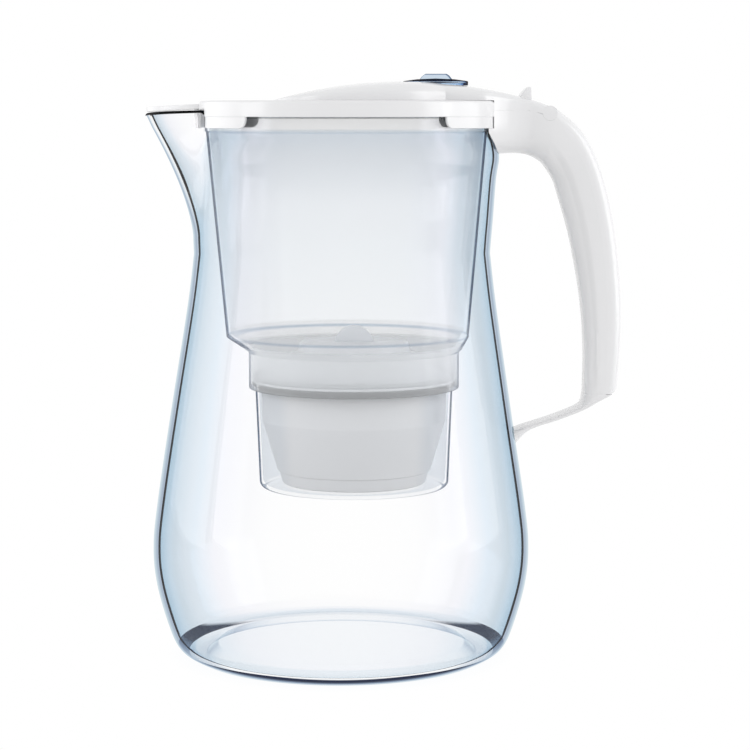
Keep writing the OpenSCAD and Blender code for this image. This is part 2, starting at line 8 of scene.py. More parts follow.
import bmesh
import bpy
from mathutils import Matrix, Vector


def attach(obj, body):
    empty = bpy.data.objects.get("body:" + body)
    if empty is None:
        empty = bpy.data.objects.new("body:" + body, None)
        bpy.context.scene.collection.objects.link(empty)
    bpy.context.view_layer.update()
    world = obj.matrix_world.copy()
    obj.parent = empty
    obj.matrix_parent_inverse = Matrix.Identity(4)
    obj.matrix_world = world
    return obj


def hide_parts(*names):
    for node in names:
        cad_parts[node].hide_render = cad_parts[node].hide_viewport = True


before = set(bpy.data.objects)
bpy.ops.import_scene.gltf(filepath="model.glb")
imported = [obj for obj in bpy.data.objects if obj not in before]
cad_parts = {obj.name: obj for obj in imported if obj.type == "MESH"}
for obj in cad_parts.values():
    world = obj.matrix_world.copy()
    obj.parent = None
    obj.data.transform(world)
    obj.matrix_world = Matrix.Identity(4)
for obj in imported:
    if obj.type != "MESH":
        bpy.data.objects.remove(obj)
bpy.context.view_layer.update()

MM = 0.001

# Driving sizes of the jug
FOOT_R, BELLY_R, WAIST_R, WAIST_Z = 74, 94, 73.3, 201
SHOULDER_R, NECK_R, RIM_Z, WALL = 75.3, 72.8, 268.5, 2.4
WAIST_X, MOUTH_X, MOUTH_LEVEL_Z = 0.7, 3, 252
SPOUT_REACH, SPOUT_TIP_Z, SPOUT_START_Z, SPOUT_HALF_ANGLE = 96.8, 269.6, 208, 24
SPOUT_POWER, SPOUT_FOOT = 1.5, 0.6

# Driving sizes of the handle, the lid and the flip lid
GRIP_W, HEAD_W, HEAD_TOP_Z = 26, 28, 271.1
LID_R, SKIRT_R, DECK_Z, DECK_UNDER_Z, HOLE_R, DOME_X, DOME_R = 74.8, 73.1, 275.7, 272.9, 36, 12, 46.5
SKIRT_Z, TAB_Z, SEAT_Z, SEAT_TOP_Z = 268, 262.5, 270.1, 271.5
GATE_ANGLE, SLOT_ANGLE, FRONT_TAB_ANGLE, REAR_TAB_ANGLE, TAB_STEP = 15.5, 25, 50.9, 50, 0.4
CREST_Z, CREST_R, CREST_X = 285, 231, 31
HINGE_X, HINGE_Z, KNUCKLE_R, PIN_R, TONGUE_HALF = 102.3, 269.8, 3.6, 1.5, 8

# Gap between moving pieces, and the finer gap of a seam that shows
GAP, SEAM = 0.4, 0.04

# Driving sizes of the funnel, its well and the cartridge
FUNNEL_TOP_R, FUNNEL_FLOOR_R, FUNNEL_FLOOR_Z, FUNNEL_WALL = 69.2, 60.2, 159.5, 1.8
COLLAR_R, COLLAR_Z, COLLAR_TOP_Z, CARTRIDGE_X = 52.3, 134, 154.5, 6.5

# Driving sizes of the dial
DIAL_R, DIAL_X, RECESS_Z, DISC_Z, GRIP_BAR_HALF = 16, 46.8, 282.4, 283.3, 11


# ---- Curves ----

def curve_at(a, b, c, d, t):
    """A point between b and c on the smooth curve through a, b, c and d."""
    return tuple(
        0.5 * (2 * q + (r - p) * t + (2 * p - 5 * q + 4 * r - s) * t * t + (3 * q - p - 3 * r + s) * t**3)
        for p, q, r, s in zip(a, b, c, d)
    )


def smooth(points, steps):
    """A smooth curve through given points."""
    last = len(points) - 1
    made = [
        curve_at(points[max(i - 1, 0)], points[i], points[i + 1], points[min(i + 2, last)], k / steps)
        for i in range(last)
        for k in range(steps)
    ]
    return made + [points[-1]]


def beside(curve, by):
    """A curve moved sideways, to the left of the way it runs."""
    moved = []
    for i, (x, z) in enumerate(curve):
        a, b = curve[max(i - 1, 0)], curve[min(i + 1, len(curve) - 1)]
        dx, dz = b[0] - a[0], b[1] - a[1]
        length = math.hypot(dx, dz)
        moved.append((x - by * dz / length, z + by * dx / length))
    return moved


def eased(t):
    s = min(max(t, 0), 1)
    return s * s * (3 - 2 * s)


def rounded(outline, steps=5):
    """A closed outline of (x, y, radius) corners, with each corner turned into an arc of its radius."""
    made = []
    count = len(outline)
    for i, (x, y, radius) in enumerate(outline):
        here = Vector((x, y))
        before = Vector(outline[i - 1][:2]) - here
        after = Vector(outline[(i + 1) % count][:2]) - here
        if radius <= 0 or before.length < 1e-6 or after.length < 1e-6:
            made.append((x, y))
            continue
        half = before.angle(after) / 2
        back = min(radius / math.tan(half), 0.49 * before.length, 0.49 * after.length)
        radius = back * math.tan(half)
        centre = here + (before.normalized() + after.normalized()).normalized() * radius / math.sin(half)
        start = here + before.normalized() * back - centre
        end = here + after.normalized() * back - centre
        turn = start.angle(end)
        for k in range(steps + 1):
            t = k / steps
            point = (start * math.sin((1 - t) * turn) + end * math.sin(t * turn)) / math.sin(turn)
            made.append(tuple(centre + point))
    return made


# ---- Meshes ----

def piece(name, points, faces, crease=35, slots=None):
    """A new object from points in millimetres, smooth apart from edges sharper than crease degrees."""
    mesh = bpy.data.meshes.new(name)
    mesh.from_pydata([[c * MM for c in p] for p in points], [], faces)
    if slots:
        mesh.polygons.foreach_set("material_index", slots)
    made = bpy.data.objects.new(name, mesh)
    bpy.context.scene.collection.objects.link(made)
    weld(made)
    mesh.shade_smooth()
    mesh.set_sharp_from_angle(angle=math.radians(crease))
    return made


def weld(obj):
    """Joins points that lie on each other, drops the faces that this closes up, and turns all outwards."""
    work = bmesh.new()
    work.from_mesh(obj.data)
    bmesh.ops.remove_doubles(work, verts=work.verts, dist=1e-7)
    bmesh.ops.dissolve_degenerate(work, dist=1e-8, edges=work.edges)
    bmesh.ops.recalc_face_normals(work, faces=work.faces)
    work.to_mesh(obj.data)
    work.free()


def loft(name, rings, looped=False, crease=35, bands=()):
    """A closed piece through rings of points; a looped one joins its last ring to its first.

    A band is (ring, slot): from that ring on to the next band, the faces take that material slot."""
    n, m = len(rings[0]), len(rings)
    faces = [
        (i * n + j, i * n + (j + 1) % n, (i + 1) % m * n + (j + 1) % n, (i + 1) % m * n + j)
        for i in range(m if looped else m - 1)
        for j in range(n)
    ]
    if not looped:
        faces += [list(range(n))[::-1], [(m - 1) * n + j for j in range(n)]]
    slots = [([0] + [slot for start, slot in bands if f[0] // n >= start])[-1] for f in faces]
    return piece(name, [p for ring in rings for p in ring], faces, crease, slots)


def turned(name, outline, centre_x=0, turns=144, crease=35, bands=()):
    """A piece of revolution from a closed outline of (radius, height) points."""
    rings = [
        [
            (centre_x + r * math.cos(2 * math.pi * k / turns), r * math.sin(2 * math.pi * k / turns), z)
            for k in range(turns)
        ]
        for r, z in outline
    ]
    return loft(name, rings, looped=True, crease=crease, bands=bands)


def prism(name, outline, low, high, axis="y", crease=35):
    """A piece with a flat outline, between two places along an axis."""
    place = {"x": lambda a, b, c: (c, a, b), "y": lambda a, b, c: (a, c, b), "z": lambda a, b, c: (a, b, c)}[axis]
    return loft(name, [[place(a, b, c) for a, b in outline] for c in (low, high)], crease=crease)


def box(name, low, high):
    corners = [(low[0], low[1]), (high[0], low[1]), (high[0], high[1]), (low[0], high[1])]
    return prism(name, corners, low[2], high[2], "z")


def circle(x, y, r, count=48):
    return [
        (x + r * math.cos(2 * math.pi * k / count), y + r * math.sin(2 * math.pi * k / count))
        for k in range(count)
    ]


def baked(obj, crease=35):
    """Applies an object's modifiers."""
    shown = obj.evaluated_get(bpy.context.evaluated_depsgraph_get())
    mesh = bpy.data.meshes.new_from_object(shown)
    obj.modifiers.clear()
    obj.data = mesh
    weld(obj)
    mesh.shade_smooth()
    mesh.set_sharp_from_angle(angle=math.radians(crease))
    return obj


def combine(obj, tool, how="DIFFERENCE", crease=35):
    """Cuts a tool out of a piece, or joins it on, and removes the tool."""
    modifier = obj.modifiers.new("combine", "BOOLEAN")
    modifier.object = tool
    modifier.operation = how
    modifier.solver = "EXACT"
    bpy.context.view_layer.update()
    baked(obj, crease)
    bpy.data.objects.remove(tool)
    return obj


def softened(obj, width, segments=2, angle=40):
    """Rounds a piece's sharp edges."""
    modifier = obj.modifiers.new("soften", "BEVEL")
    modifier.width = width * MM
    modifier.segments = segments
    modifier.limit_method = "ANGLE"
    modifier.angle_limit = math.radians(angle)
    modifier.harden_normals = False
    return baked(obj, 50)


def finished(obj, body, slot, looks, *nodes):
    """Gives a piece its material or materials and its body, and hides the nodes that it stands for."""
    for look in looks if isinstance(looks, tuple) else (looks,):
        obj.data.materials.append(look)
    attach(obj, body)
    if nodes:
        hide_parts(*nodes)
    return obj


# ---- The jug ----

FLOOR_Z, GROOVE_Z, PUSH_UP_Z, PUSH_UP_R, FOOT_INNER_R = 9.5, 3.2, 7, 60, 67.5

JUG_OUTLINE = smooth(
    [(FOOT_R, 0), (82, 5), (87, 16), (BELLY_R - 1.6, 36), (BELLY_R, 54), (BELLY_R - 2.1, 76),
     (84.2, 126), (76.4, 176), (WAIST_R, WAIST_Z)], 8)
MOUTH_OUTLINE = smooth(
    [(WAIST_R, WAIST_Z), (74, 216), (74.2, 237), (SHOULDER_R, 248), (74.2, 255),
     (NECK_R, 260), (NECK_R, RIM_Z)], 6)
MOUTH_ANGLES = [a * 1.5 for a in range(-20, 21)] + [33 + 3 * k for k in range(99)]

# Where the round lower jug ends and its centre starts to move back
ROUND_END = 44
LEAN_Z = JUG_OUTLINE[ROUND_END][1]

# Heights on the foot's corner between which a painted dark line stands in for refraction in the thick plastic
FOOT_LINE = (1.2, 4.8)


def spout_share(angle):
    """How far round from the spout's middle an angle lies, as a share of the spout's half angle."""
    turn = abs((angle + 180) % 360 - 180)
    return min(turn / SPOUT_HALF_ANGLE, 1)


def nose(angle):
    return (1 - spout_share(angle) ** 2) ** 2


def nose_reach(r, z):
    """How far the spout stands out of a ring of the mouth."""
    if z <= SPOUT_START_Z:
        return 0
    rise = (z - SPOUT_START_Z) / (SPOUT_TIP_Z - SPOUT_START_Z)
    front = WAIST_R - SPOUT_FOOT + (SPOUT_REACH - WAIST_R + SPOUT_FOOT) * rise**SPOUT_POWER
    return max(front - r + mouth_centre(z), 0)


def mouth_centre(z):
    """The jug's centre at a height: it moves back a little up to the waist, and on from there to the mouth."""
    lower = WAIST_X * eased((z - LEAN_Z) / (WAIST_Z - LEAN_Z))
    return lower + (MOUTH_X - WAIST_X) * eased((z - WAIST_Z) / (MOUTH_LEVEL_Z - WAIST_Z))


def rim_at(angle):
    """Height of the rim: it steps up beside the spout and slopes down to the tip."""
    share = 1 - spout_share(angle)
    return RIM_Z + 2.7 * eased(share / 0.15) - (RIM_Z + 2.7 - SPOUT_TIP_Z) * share**2


def mouth_ring(r, z, inset, rim_share=0.0, lift=0.0):
    """One ring of the jug's outside, or of its inside when inset is the wall."""
    ring = []
    for angle in MOUTH_ANGLES:
        reach, share = nose_reach(r, z), spout_share(angle)
        radius = r + reach * nose(angle)
        slope = 4 * reach * share * (1 - share**2) / math.radians(SPOUT_HALF_ANGLE) / radius
        at = radius - inset * math.sqrt(1 + slope**2)
        turn = math.radians(angle)
        height = z + rim_share * (rim_at(angle) - RIM_Z) + lift
        ring.append((mouth_centre(z) - at * math.cos(turn), -at * math.sin(turn), height))
    return ring


def jug_rings():
    """The jug's rings from the middle of its underside, out, up, over the rim, and down inside."""
    underside = [(0.5, PUSH_UP_Z)] + rounded(
        [(0.5, PUSH_UP_Z, 0), (PUSH_UP_R, PUSH_UP_Z, 1.5), (FOOT_INNER_R, 0, 1.5), (FOOT_R, 0, 0)])[1:-1]
    inside = [p for p in beside(JUG_OUTLINE, WALL) if p[1] > 9]
    floor = smooth([inside[0], (77.4, GROOVE_Z + 1.6), (71.5, GROOVE_Z), (66, GROOVE_Z + 1.2),
                    (60, FLOOR_Z - 1.2), (55, FLOOR_Z), (40, FLOOR_Z)], 6)
    outer = [(r, z, 0) for r, z in underside + JUG_OUTLINE + MOUTH_OUTLINE[1:-1]]
    inner = [(r, z, 1) for r, z in MOUTH_OUTLINE[1:-1][::-1] + JUG_OUTLINE[::-1] if z > 205]
    rings = []
    for r, z, _ in outer:
        rings.append(mouth_ring(r, z, 0, eased((z - 262) / (RIM_Z - 262))))
    for k in range(7):
        turn = math.radians(30 * k)
        inset, lift = WALL / 2 * (1 - math.cos(turn)), WALL / 2 * (math.sin(turn) - 1)
        rings.append(mouth_ring(NECK_R, RIM_Z, inset, 1, lift))
    for r, z, _ in inner:
        rings.append(mouth_ring(r, z, WALL, eased((z - 262) / (RIM_Z - 262))))
    for r, z in inside[::-1] + floor[1:] + [(0.5, FLOOR_Z)]:
        rings.append(mouth_ring(r, z, 0))
    line_from, line_to = [len(underside) + sum(z < end for _, z in JUG_OUTLINE) for end in FOOT_LINE]
    return rings, [(line_from, 3), (line_to, 0), (len(outer), 1), (len(outer) + 6, 2)]


def make_jug(outside, rim, inside, foot_line):
    rings, bands = jug_rings()
    jug = loft("jug", rings, crease=50, bands=bands)
    finished(jug, "jug", "clear_plastic", (outside, rim, inside, foot_line), "jug_body")


# ---- The handle ----

TAIL_W, FLARE_FROM_X, FLARE_TO_X = 52, 70, 94

GRIP_INNER = smooth([(99.5, 245), (104.4, 237.5), (107.1, 229.5), (112.9, 209.2),
                     (118.2, 181), (120.5, 155.5), (120.4, 131.5)], 8)
GRIP_SEAM = smooth([(104.2, 267), (113.2, 255.8), (121.4, 239.4), (127.5, 212.9),
                    (131, 181), (131.5, 155.5), (131, 131.5)], 8)
GRIP_OUTER = smooth([(105.9, 272.2), (118.5, 261), (127.9, 242.4), (134.8, 214.3),
                     (138.5, 181), (138.5, 155.5), (136.9, 131.5)], 8)
HEAD_UNDER = smooth([(71, 249.4), (84, 250.2), (91, 249.6), (96, 247.6), (99.5, 245)], 5)[:-1]
HEAD_OVER = smooth([(71, HEAD_TOP_Z), (84, HEAD_TOP_Z), (91.5, HEAD_TOP_Z), (99, 269.1), (104.2, 267)], 5)[:-1]

# The rounded lower end of the cover, in place of the grip's last two slices
COVER_END = [(137.15, 135), (136.8, 133.6), (136.1, 132.5), (135, 131.7)]

# The lower arm from the grip to the jug's wall: a point over it, a point under it, its widest place as a share
# of the way between the two, and its width as a share of the grip's
ARM = smooth([
    (120.4, 131.5, 131, 131.5, 1, 1), (120.3, 130.9, 134.9, 131.4, 0.72, 1), (119.7, 127.2, 133.4, 130.3, 0.6, 0.97),
    (118.3, 125, 129.2, 128.1, 0.52, 0.89), (115.4, 123.4, 121, 123.2, 0.5, 0.79),
    (105.6, 119.6, 108, 118, 0.5, 0.72), (96.7, 116.7, 97.5, 114.6, 0.5, 0.69), (91, 115, 91.5, 111.2, 0.5, 0.71),
    (82, 112, 84, 102.5, 0.5, 0.77)], 4)[1:]


def flare_at(x):
    """Half width of the head and of the lid's arm: wide at the lid's rim, narrow at the hinge."""
    share = min(max((x - FLARE_FROM_X) / (FLARE_TO_X - FLARE_FROM_X), 0), 1)
    return HEAD_W / 2 + (TAIL_W - HEAD_W) / 2 * (1 - share) ** 2


def handle_slice(front, seam, half, step=0.0, back=None, power=0.6, count=32):
    """A slice that is rounded from its seam to the front, and flat at the seam or rounded to the back too.

    The step sets the front strip of each side back a little."""
    ring = []
    for k in range(2 * count):
        turn = math.pi * k / count
        out, across = abs(math.sin(turn)) ** power, abs(math.cos(turn)) ** power
        width = half * across
        if k < count and out > 0.5:
            width -= step * min((out - 0.5) / 0.04, 1) * min(across / 0.5, 1)
        side = 1 if math.cos(turn) > 0 else -1
        tip = front if k <= count else back or seam
        ring.append((seam[0] + (tip[0] - seam[0]) * out, side * width, seam[1] + (tip[1] - seam[1]) * out))
    return ring


def grip_half(i):
    """Half width of the grip at a step along it."""
    return (HEAD_W - (HEAD_W - GRIP_W) * eased(i / 12)) / 2


def neck_room():
    """The neck and the lid's skirt in front of the handle, a little oversize."""
    return turned("neck_room", [(0.01, 240), (75.4, 240), (75.4, 248.5), (74.4, 255.2), (72.9, 260.2),
                                (72.9, TAB_Z - SEAM), (LID_R + SEAM, TAB_Z - SEAM), (LID_R + SEAM, 290),
                                (0.01, 290)], MOUTH_X, 180)


def hinge_room(extra):
    """The pocket for the flip lid's knuckles."""
    r, half = KNUCKLE_R + extra, HEAD_W / 2 + 2
    outline = [(HINGE_X + r * math.cos(math.radians(a)), HINGE_Z + r * math.sin(math.radians(a)))
               for a in range(-180, 1, 10)]
    return prism("hinge_room", outline + [(HINGE_X + r, HINGE_Z + 12), (HINGE_X - r, HINGE_Z + 12)], -half, half)


def make_handle(white):
    grips = list(zip(GRIP_INNER, GRIP_SEAM))
    body = loft("handle_body", [
        handle_slice(a, b, flare_at(b[0])) for a, b in zip(HEAD_UNDER, HEAD_OVER)
    ] + [
        handle_slice(a, b, grip_half(i), 0.7 * eased(i / 10) * eased((len(grips) - 1 - i) / 6))
        for i, (a, b) in enumerate(grips)
    ] + [
        handle_slice((a, b), (a + (c - a) * share, b + (d - b) * share), width * GRIP_W / 2, back=(c, d))
        for a, b, c, d, share, width in ARM
    ])
    combine(body, neck_room())
    combine(body, hinge_room(SEAM))
    combine(body, box("tongue_room", (60, -TONGUE_HALF - 0.6, 263.6), (HINGE_X, TONGUE_HALF + 0.6, 290)))
    wall = [p for p in JUG_OUTLINE if 70 < p[1] < 150]
    combine(body, turned("wall_room", [(0.01, 70)] + beside(wall, -0.1) + [(0.01, 150)], 0, 180))
    finished(body, "jug", "white_plastic", white, "handle_body")
    covers = list(zip(GRIP_OUTER, GRIP_SEAM))[:-2] + [(end, (GRIP_SEAM[-1][0], end[1])) for end in COVER_END]
    cover = loft("handle_cover", [handle_slice(a, b, grip_half(i)) for i, (a, b) in enumerate(covers)])
    combine(cover, hinge_room(SEAM))
    finished(cover, "jug", "white_plastic", white, "handle_cover")


# ---- The lid ----

def hole_reach(angle):
    """Distance from the mouth's centre to the filling hole's edge, at an angle from -X."""
    turn, off = math.radians(180 - angle), DOME_X - MOUTH_X
    return off * math.cos(turn) + math.sqrt(HOLE_R**2 - (off * math.sin(turn)) ** 2)


def skirt_end(angle):
    """Height of the skirt's lower edge: longer tabs with round corners in front and behind, slots beside the gate."""
    turn = abs((angle + 180) % 360 - 180)
    if GATE_ANGLE < turn < SLOT_ANGLE:
        return SEAT_TOP_Z
    past = min(abs(turn - FRONT_TAB_ANGLE), abs(turn - (180 - REAR_TAB_ANGLE))) * math.radians(1) * LID_R
    if FRONT_TAB_ANGLE < turn < 180 - REAR_TAB_ANGLE:
        return SKIRT_Z
    corner = 4
    return TAB_Z + (corner - math.sqrt(corner**2 - (corner - past) ** 2) if past < corner else 0)


def lid_angles():
    """Places round the lid, closer together at the ends of the tabs."""
    ends = [GATE_ANGLE, SLOT_ANGLE, FRONT_TAB_ANGLE, 180 - REAR_TAB_ANGLE]
    made = {a * 2.5 for a in range(73)}
    for end in ends:
        made |= {end - 0.02, end + 0.02} | {end + side * step for side in (-1, 1) for step in (0.3, 0.7, 1.2, 2)}
    half = sorted(a for a in made if 0 <= a <= 180)
    return half + [360 - a for a in half[-2:0:-1]]


def make_lid(white):
    rings = []
    for angle in lid_angles():
        low, hole = skirt_end(angle), hole_reach(angle)
        seat = SKIRT_R - 0.1 if abs((angle + 180) % 360 - 180) < GATE_ANGLE else 70.2
        step_z = max(SKIRT_Z, low + 0.02)
        section = rounded([
            (hole, DECK_Z, 0.8), (LID_R, DECK_Z, 1.3), (LID_R, step_z, 0.3), (LID_R - TAB_STEP, step_z, 0.1),
            (LID_R - TAB_STEP, low, 0.4), (SKIRT_R, low, 0.4),
            (SKIRT_R, DECK_UNDER_Z, 0), (68.6, DECK_UNDER_Z, 0), (68.6, SEAT_TOP_Z, 0), (seat, SEAT_TOP_Z, 0),
            (seat, SEAT_Z, 0.3), (67, SEAT_Z, 0.3), (67, DECK_UNDER_Z, 0), (hole, DECK_UNDER_Z, 0.8)], 4)
        turn = math.radians(angle)
        rings.append([(MOUTH_X - r * math.cos(turn), -r * math.sin(turn), z) for r, z in section])
    lid = loft("lid_frame", rings, looped=True)
    combine(lid, box("notch", (-90, -24.2, SEAT_TOP_Z), (FLAP_X - 1.9, 24.2, 290)))
    combine(lid, box("barrel_notch", (-90, -19.8, SEAT_TOP_Z), (FLAP_X + 2.1, 19.8, 290)))
    combine(lid, box("tongue", (SKIRT_R + MOUTH_X + 0.5, -TONGUE_HALF, 267), (HINGE_X, TONGUE_HALF, 270.6)), "UNION")
    knuckle = prism("knuckle", circle(HINGE_X, HINGE_Z, KNUCKLE_R), -TONGUE_HALF, TONGUE_HALF)
    combine(lid, knuckle, "UNION")
    combine(lid, prism("bore", circle(HINGE_X, HINGE_Z, PIN_R + 0.05), -TONGUE_HALF - 1, TONGUE_HALF + 1))
    finished(lid, "lid", "white_plastic", white, "lid_frame")


# ---- The flip lid ----

SHELL, ARM_STEP_X, ARM_BEND_X, PLUG_R, PLUG_Z, FIN_HALF = 2.2, 68, 98, 35, 273.4, 9


def arc_at(x):
    return CREST_Z - CREST_R + math.sqrt(CREST_R**2 - (x - CREST_X) ** 2)


def crest_at(x):
    """Height of the flip lid's crest: a long arc that comes down to the hinge's knuckle."""
    if x <= ARM_BEND_X:
        return arc_at(x)
    end = HINGE_Z + KNUCKLE_R
    return end + (arc_at(ARM_BEND_X) - end) * (HINGE_X - x) / (HINGE_X - ARM_BEND_X)


def lid_half(x):
    """Half width of the flip lid seen from above: a round cover that runs into the rear arm."""
    return max(math.sqrt(max(DOME_R**2 - (x - DOME_X) ** 2, 0)), flare_at(x) if x > DOME_X else 0)


def under_at(x):
    """Height of the flip lid's underside."""
    if x < ARM_STEP_X:
        return DECK_Z + 0.2
    places = [(91.8, HEAD_TOP_Z + SEAM), (99.3, 269.25), (HINGE_X, 268.5)]
    if x <= places[0][0]:
        return places[0][1]
    for (a, low), (b, high) in zip(places, places[1:]):
        if x <= b:
            return low + (high - low) * (x - a) / (b - a)
    return places[-1][1]


def lid_slice(x, inset, count=40):
    """An upright slice of the flip lid, or of its hollow when inset is the shell's thickness."""
    half, low, top = lid_half(x) - inset, under_at(x), crest_at(x) - inset
    side = low + 0.3 if x < ARM_STEP_X else low + 0.45 * (crest_at(x) - low)
    power = 0.5 + 0.1 * eased((x - 40) / 12)
    ring = [(x, half, low - 4 * inset)]
    for k in range(count + 1):
        turn = math.pi * k / count
        across, up = abs(math.cos(turn)) ** power, abs(math.sin(turn)) ** power
        ring.append((x, half * across * (1 if turn < math.pi / 2 else -1), side + (top - side) * up))
    return ring + [(x, -half, low - 4 * inset)]


def lid_form(name, turn_from, last_x, inset, step=3):
    """The flip lid's outer form, or its hollow."""
    places = [DOME_X - DOME_R * math.cos(math.radians(t)) for t in range(turn_from, 144, step)]
    places += [51 + 1.5 * k for k in range(35)] + [ARM_STEP_X - 0.02, ARM_STEP_X + 0.02, 91.8, 99.3, HINGE_X]
    return loft(name, [lid_slice(x, inset) for x in sorted(set(places)) if x <= last_x], crease=30)


def make_flip_lid(white):
    lid = lid_form("flip_lid", 17, HINGE_X, 0)
    combine(lid, lid_form("hollow", 50, 96, SHELL, 6))
    combine(lid, turned("rim_room", [(0.01, 250), (LID_R + SEAM, 250), (LID_R + SEAM, DECK_Z + 0.2),
                                     (0.01, DECK_Z + 0.2)], MOUTH_X))
    ring = turned("plug", [(PLUG_R - 2, PLUG_Z), (PLUG_R, PLUG_Z), (PLUG_R, 290), (PLUG_R - 2, 290)], DOME_X, 96)
    under = prism("under", [(DOME_X - 40, PLUG_Z - 2), (DOME_X + 40, PLUG_Z - 2), (DOME_X + 40, 281.8),
                            (DOME_X, 281.5), (-10, 280), (DOME_X - 40, 277.2)], -40, 40)
    combine(ring, under, "INTERSECT")
    combine(lid, ring, "UNION")
    combine(lid, prism("recess_floor", circle(DIAL_X, 0, DIAL_R + 1, 72), RECESS_Z - 2.2, RECESS_Z, "z"), "UNION")
    combine(lid, prism("knuckles", circle(HINGE_X, HINGE_Z, KNUCKLE_R), -HEAD_W / 2, HEAD_W / 2), "UNION")
    fin = rounded([(88.2, 276.5, 0), (88.2, 278.8, 2), (90.8, 281.9, 2), (92.2, 282.5, 0.4), (93.3, 282.5, 0.4),
                   (93.6, 276, 0)], 4)
    combine(lid, softened(prism("fin", fin, -FIN_HALF, FIN_HALF), 0.5), "UNION")
    combine(lid, prism("dial_room", circle(DIAL_X, 0, DIAL_R + GAP, 96), RECESS_Z, 295, "z"))
    combine(lid, prism("spindle_bore", circle(DIAL_X, 0, 2.55), RECESS_Z - 5, RECESS_Z + 1, "z"))
    combine(lid, prism("clip_room", circle(DIAL_X, 0, 5.6), 277.8, RECESS_Z - 2.2, "z"))
    r = KNUCKLE_R + GAP
    combine(lid, box("knuckle_room", (HINGE_X - r, -TONGUE_HALF - GAP, 259.8), (HINGE_X + 20, TONGUE_HALF + GAP, 279.8)))
    combine(lid, box("tongue_room", (65, -TONGUE_HALF - GAP, 266), (HINGE_X, TONGUE_HALF + GAP, 271)))
    combine(lid, prism("bore", circle(HINGE_X, HINGE_Z, PIN_R + 0.05), -12.7, 12.7))
    finished(lid, "flip_lid", "white_plastic", white, "flip_lid")


# ---- The spout flap ----

FLAP_X, FLAP_Z, FLAP_BARREL_R, FLAP_PIN_R, FLAP_BARREL_HALF, FLAP_HALF = -63.5, 274.2, 1.4, 0.8, 19.5, 23.7
FLAP_T, FLAP_SLOPE, FLAP_ANGLE, FLAP_DROP = 2.4, 3.1, 17, 2.15


def make_spout_flap(white):
    reach, back_half = nose_reach(NECK_R, RIM_Z), FLAP_BARREL_HALF - 0.5
    outline = [(0.3, -back_half), (-2.3, -back_half), (-2.3, -FLAP_HALF)]
    for k in range(-24, 25):
        angle = FLAP_ANGLE * k / 24
        r, turn = NECK_R - GAP + reach * nose(angle), math.radians(angle)
        outline.append((MOUTH_X - FLAP_X - r * math.cos(turn), r * math.sin(turn)))
    outline += [(-2.3, FLAP_HALF), (-2.3, back_half), (0.3, back_half)]
    slope, rings = math.radians(FLAP_SLOPE), []
    for z in (0, FLAP_T):
        rings.append([(FLAP_X + x * math.cos(slope) - z * math.sin(slope), y,
                       FLAP_Z - FLAP_DROP + z * math.cos(slope) + x * math.sin(slope)) for x, y in outline])
    flap = softened(loft("spout_flap", rings), 0.45, 3)
    barrel = prism("barrel", circle(FLAP_X, FLAP_Z, FLAP_BARREL_R, 32), -FLAP_BARREL_HALF, FLAP_BARREL_HALF)
    combine(flap, barrel, "UNION")
    combine(flap, prism("bore", circle(FLAP_X, FLAP_Z, FLAP_PIN_R + 0.05, 24), -FLAP_HALF, FLAP_HALF))
    finished(flap, "spout_flap", "white_plastic", white, "spout_flap")


# ---- The dial ----

def make_dial(blue, bar_look):
    knob = turned("dial_knob", rounded([
        (0.3, 277.6, 0), (2.5, 277.6, 0.4), (2.5, 285, 0.3), (DIAL_R - 1.2, 284.6, 0.3), (DIAL_R - 1.2, DISC_Z, 0.2),
        (DIAL_R, DISC_Z, 0.3), (DIAL_R, 285.4, 0.6), (DIAL_R - 2.5, 285.75, 2), (DIAL_R * 0.6, 286.3, 4),
        (0.3, 286.7, 0)], 4), DIAL_X, 96)
    finished(knob, "dial", "blue_plastic", blue, "dial_knob")
    bar = rounded([(-8.5, 285.3, 0), (8.5, 285.3, 0), (6.4, 288, 2), (5.2, 288.8, 0.8), (-5.2, 288.8, 0.8),
                   (-6.4, 288, 2)], 5)
    grip = prism("dial_grip", [(DIAL_X + x, z) for x, z in bar], -GRIP_BAR_HALF, GRIP_BAR_HALF)
    finished(softened(grip, 0.6, 3), "dial", "blue_plastic", bar_look)


# ---- The funnel and the well ----

def funnel_ring(r, z, centre_x, turns=180):
    """A round ring of the funnel; the flange is trimmed straight in front, beside the spout."""
    ring = []
    for k in range(turns):
        turn = 2 * math.pi * k / turns
        reach = r
        if r > 69.8 and math.cos(turn) < 0:
            reach = min(r, max(69.8, (60.3 + MOUTH_X) / -math.cos(turn)))
        ring.append((centre_x + reach * math.cos(turn), reach * math.sin(turn), z))
    return ring


def make_funnel(looks):
    """The funnel; its inner surface has the second look."""
    wall = FUNNEL_WALL
    outline = rounded([
        (72.4, 270.1, 0.4), (72.4, 268.5, 0.3), (69.8, 268.5, 0), (69.8, 261, 0.5), (FUNNEL_TOP_R, 260.4, 0.4),
        (FUNNEL_FLOOR_R, FUNNEL_FLOOR_Z, 0.9), (COLLAR_R + 1.5, COLLAR_TOP_Z - 1.2, 2), (COLLAR_R, 152, 1),
        (COLLAR_R, COLLAR_Z, 0.5), (49.6, COLLAR_Z, 0.2), (49.6, 135.6, 0.1), (50.7, 135.6, 0.1), (50.7, 154.8, 1),
        (FUNNEL_FLOOR_R - wall - 0.6, FUNNEL_FLOOR_Z + 2.2, 5), (FUNNEL_TOP_R - wall, 260.5, 1),
        (FUNNEL_TOP_R - wall, 270.1, 0.4)], 5)
    rings = []
    for r, z in outline:
        lower = eased((FUNNEL_FLOOR_Z + 2 - z) / 8)
        rings.append(funnel_ring(r, z, MOUTH_X + (CARTRIDGE_X - MOUTH_X) * lower))
    first_inner = next(i for i, (r, z) in enumerate(outline) if r < 50)
    funnel = loft("funnel", rings, looped=True, crease=40, bands=[(first_inner, 1)])
    finished(funnel, "funnel", "frosted_plastic", looks, "funnel")


